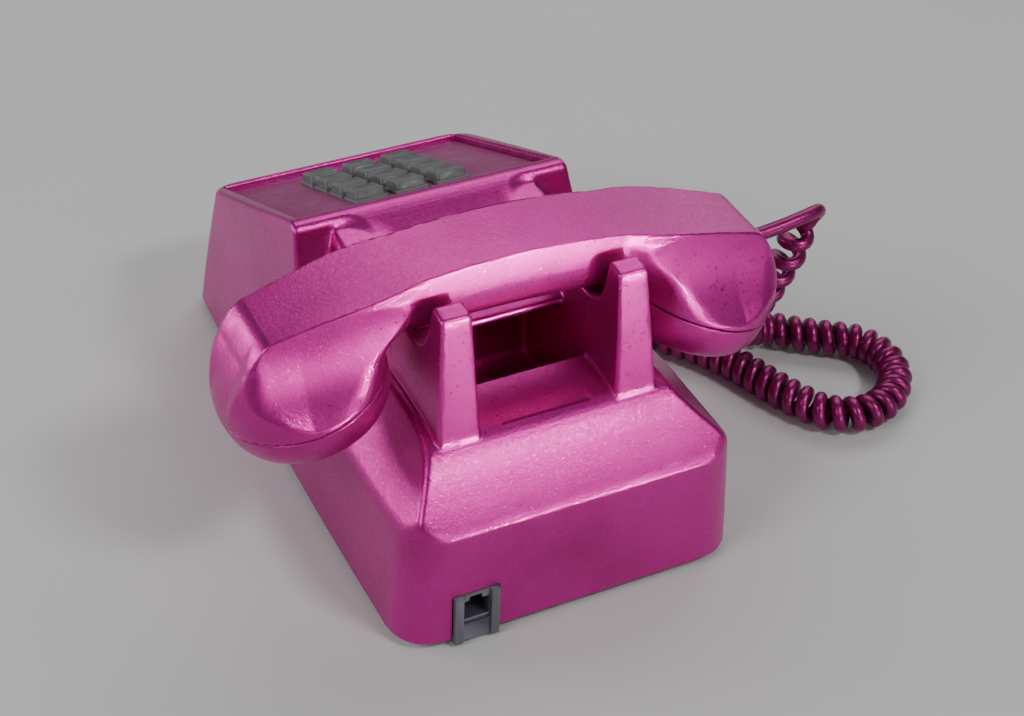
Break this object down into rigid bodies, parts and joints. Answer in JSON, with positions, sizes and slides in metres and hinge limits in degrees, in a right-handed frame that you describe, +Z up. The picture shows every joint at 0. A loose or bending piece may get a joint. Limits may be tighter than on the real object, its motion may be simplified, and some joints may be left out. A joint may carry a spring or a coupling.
{
  "type": "push-button desk telephone",
  "caption": "Push-button desk telephone with a lift-off handset across two cradle ears, a sloping keypad box and a curly handset cord.",
  "frame": {"origin": "middle of the footprint, on the surface the telephone stands on", "axes": "+Y towards the rear wall with the line jack, +Z up, +X to the user's right"},
  "size_m": [0.2935, 0.2327, 0.1279],
  "materials": {
    "shell_pink": "pearly gloss paint with a fine orange-peel texture",
    "plate_pink": "satin",
    "key_gray": "satin, worn at the edges",
    "jack_gray": "moulded",
    "natural_plastic": "moulded",
    "clear_plastic": "translucent",
    "board_tan": "laminate",
    "black_plastic": "moulded",
    "foot_rubber": "matte",
    "zinc_steel": "zinc plated",
    "bell_brass": "satin",
    "coil_wrap": "varnished wire",
    "cord_pink": "glossy jacket"
  },
  "bodies": {
    "base": {"housing": "shell_pink", "faceplate": "plate_pink", "line_jack": "jack_gray", "handset_jack": "jack_gray", "keypad_frame": "natural_plastic", "cord_plug_base": "clear_plastic", "keypad_board": "board_tan", "network_board": "board_tan", "hook_switch": "black_plastic", "network_block": "black_plastic", "foot_1": "foot_rubber", "foot_2": "foot_rubber", "foot_3": "foot_rubber", "foot_4": "foot_rubber", "base_plate": "zinc_steel", "housing_screw_1": "zinc_steel", "housing_screw_2": "zinc_steel", "hook_pin": "zinc_steel", "hook_bracket": "zinc_steel", "ringer_frame": "zinc_steel", "ringer_core": "zinc_steel", "clapper_pin": "zinc_steel", "gong_screw_right": "zinc_steel", "gong_screw_left": "zinc_steel", "gong_right": "bell_brass", "gong_left": "bell_brass", "ringer_coil": "coil_wrap", "cord_coil": "cord_pink", "cord_tail": "cord_pink"},
    "handset": {"handset_body": "shell_pink", "ear_cap": "shell_pink", "mouth_cap": "shell_pink", "receiver_unit": "jack_gray", "transmitter_unit": "jack_gray", "transmitter_cup": "natural_plastic", "handset_socket": "jack_gray", "cord_plug_handset": "clear_plastic", "cord_lead": "cord_pink"},
    "plungers": {"plunger_right": "shell_pink", "plunger_left": "shell_pink"},
    "hook_lever": {"hook_lever": "natural_plastic"},
    "clapper": {"clapper": "bell_brass"},
    "volume_wheel": {"volume_wheel": "black_plastic"},
    "key_1": {"key_1": "key_gray"},
    "key_2": {"key_2": "key_gray"},
    "key_3": {"key_3": "key_gray"},
    "key_4": {"key_4": "key_gray"},
    "key_5": {"key_5": "key_gray"},
    "key_6": {"key_6": "key_gray"},
    "key_7": {"key_7": "key_gray"},
    "key_8": {"key_8": "key_gray"},
    "key_9": {"key_9": "key_gray"},
    "key_star": {"key_star": "key_gray"},
    "key_0": {"key_0": "key_gray"},
    "key_hash": {"key_hash": "key_gray"}
  },
  "joints": [
    {"name": "handset_lift", "type": "slide", "parent": "base", "child": "handset", "axis": [0, 0, 1], "range_m": [0, 0.07]},
    {"name": "plunger_rise", "type": "slide", "parent": "base", "child": "plungers", "axis": [0, 0, 1], "range_m": [0, 0.007]},
    {"name": "hook_lever_turn", "type": "hinge", "parent": "base", "child": "hook_lever", "pos_m": [0, 0.009, 0.055], "axis": [1, 0, 0], "range_deg": [0, 8.4]},
    {"name": "clapper_swing", "type": "hinge", "parent": "base", "child": "clapper", "pos_m": [0, -0.092, 0.0132], "axis": [0, 0, 1], "range_deg": [-2.8, 2.8], "stiffness_Nm_per_rad": 0.02},
    {"name": "volume_turn", "type": "hinge", "parent": "base", "child": "volume_wheel", "pos_m": [0.051, -0.076, 0.0125], "axis": [1, 0, 0], "range_deg": [0, 150]},
    {"name": "key_1_press", "type": "slide", "parent": "base", "child": "key_1", "axis": [0, 0.4163, -0.9092], "range_m": [0, 0.0024], "stiffness_N_per_m": 250, "springref_m": -0.001},
    {"name": "key_2_press", "type": "slide", "parent": "base", "child": "key_2", "axis": [0, 0.4163, -0.9092], "range_m": [0, 0.0024], "stiffness_N_per_m": 250, "springref_m": -0.001},
    {"name": "key_3_press", "type": "slide", "parent": "base", "child": "key_3", "axis": [0, 0.4163, -0.9092], "range_m": [0, 0.0024], "stiffness_N_per_m": 250, "springref_m": -0.001},
    {"name": "key_4_press", "type": "slide", "parent": "base", "child": "key_4", "axis": [0, 0.4163, -0.9092], "range_m": [0, 0.0024], "stiffness_N_per_m": 250, "springref_m": -0.001},
    {"name": "key_5_press", "type": "slide", "parent": "base", "child": "key_5", "axis": [0, 0.4163, -0.9092], "range_m": [0, 0.0024], "stiffness_N_per_m": 250, "springref_m": -0.001},
    {"name": "key_6_press", "type": "slide", "parent": "base", "child": "key_6", "axis": [0, 0.4163, -0.9092], "range_m": [0, 0.0024], "stiffness_N_per_m": 250, "springref_m": -0.001},
    {"name": "key_7_press", "type": "slide", "parent": "base", "child": "key_7", "axis": [0, 0.4163, -0.9092], "range_m": [0, 0.0024], "stiffness_N_per_m": 250, "springref_m": -0.001},
    {"name": "key_8_press", "type": "slide", "parent": "base", "child": "key_8", "axis": [0, 0.4163, -0.9092], "range_m": [0, 0.0024], "stiffness_N_per_m": 250, "springref_m": -0.001},
    {"name": "key_9_press", "type": "slide", "parent": "base", "child": "key_9", "axis": [0, 0.4163, -0.9092], "range_m": [0, 0.0024], "stiffness_N_per_m": 250, "springref_m": -0.001},
    {"name": "key_star_press", "type": "slide", "parent": "base", "child": "key_star", "axis": [0, 0.4163, -0.9092], "range_m": [0, 0.0024], "stiffness_N_per_m": 250, "springref_m": -0.001},
    {"name": "key_0_press", "type": "slide", "parent": "base", "child": "key_0", "axis": [0, 0.4163, -0.9092], "range_m": [0, 0.0024], "stiffness_N_per_m": 250, "springref_m": -0.001},
    {"name": "key_hash_press", "type": "slide", "parent": "base", "child": "key_hash", "axis": [0, 0.4163, -0.9092], "range_m": [0, 0.0024], "stiffness_N_per_m": 250, "springref_m": -0.001}
  ],
  "couplings": [
    {"joint": "plunger_rise", "follows": "handset_lift", "ratio": 0.1},
    {"joint": "hook_lever_turn", "follows": "handset_lift", "rad_per_m": 2.08}
  ]
}
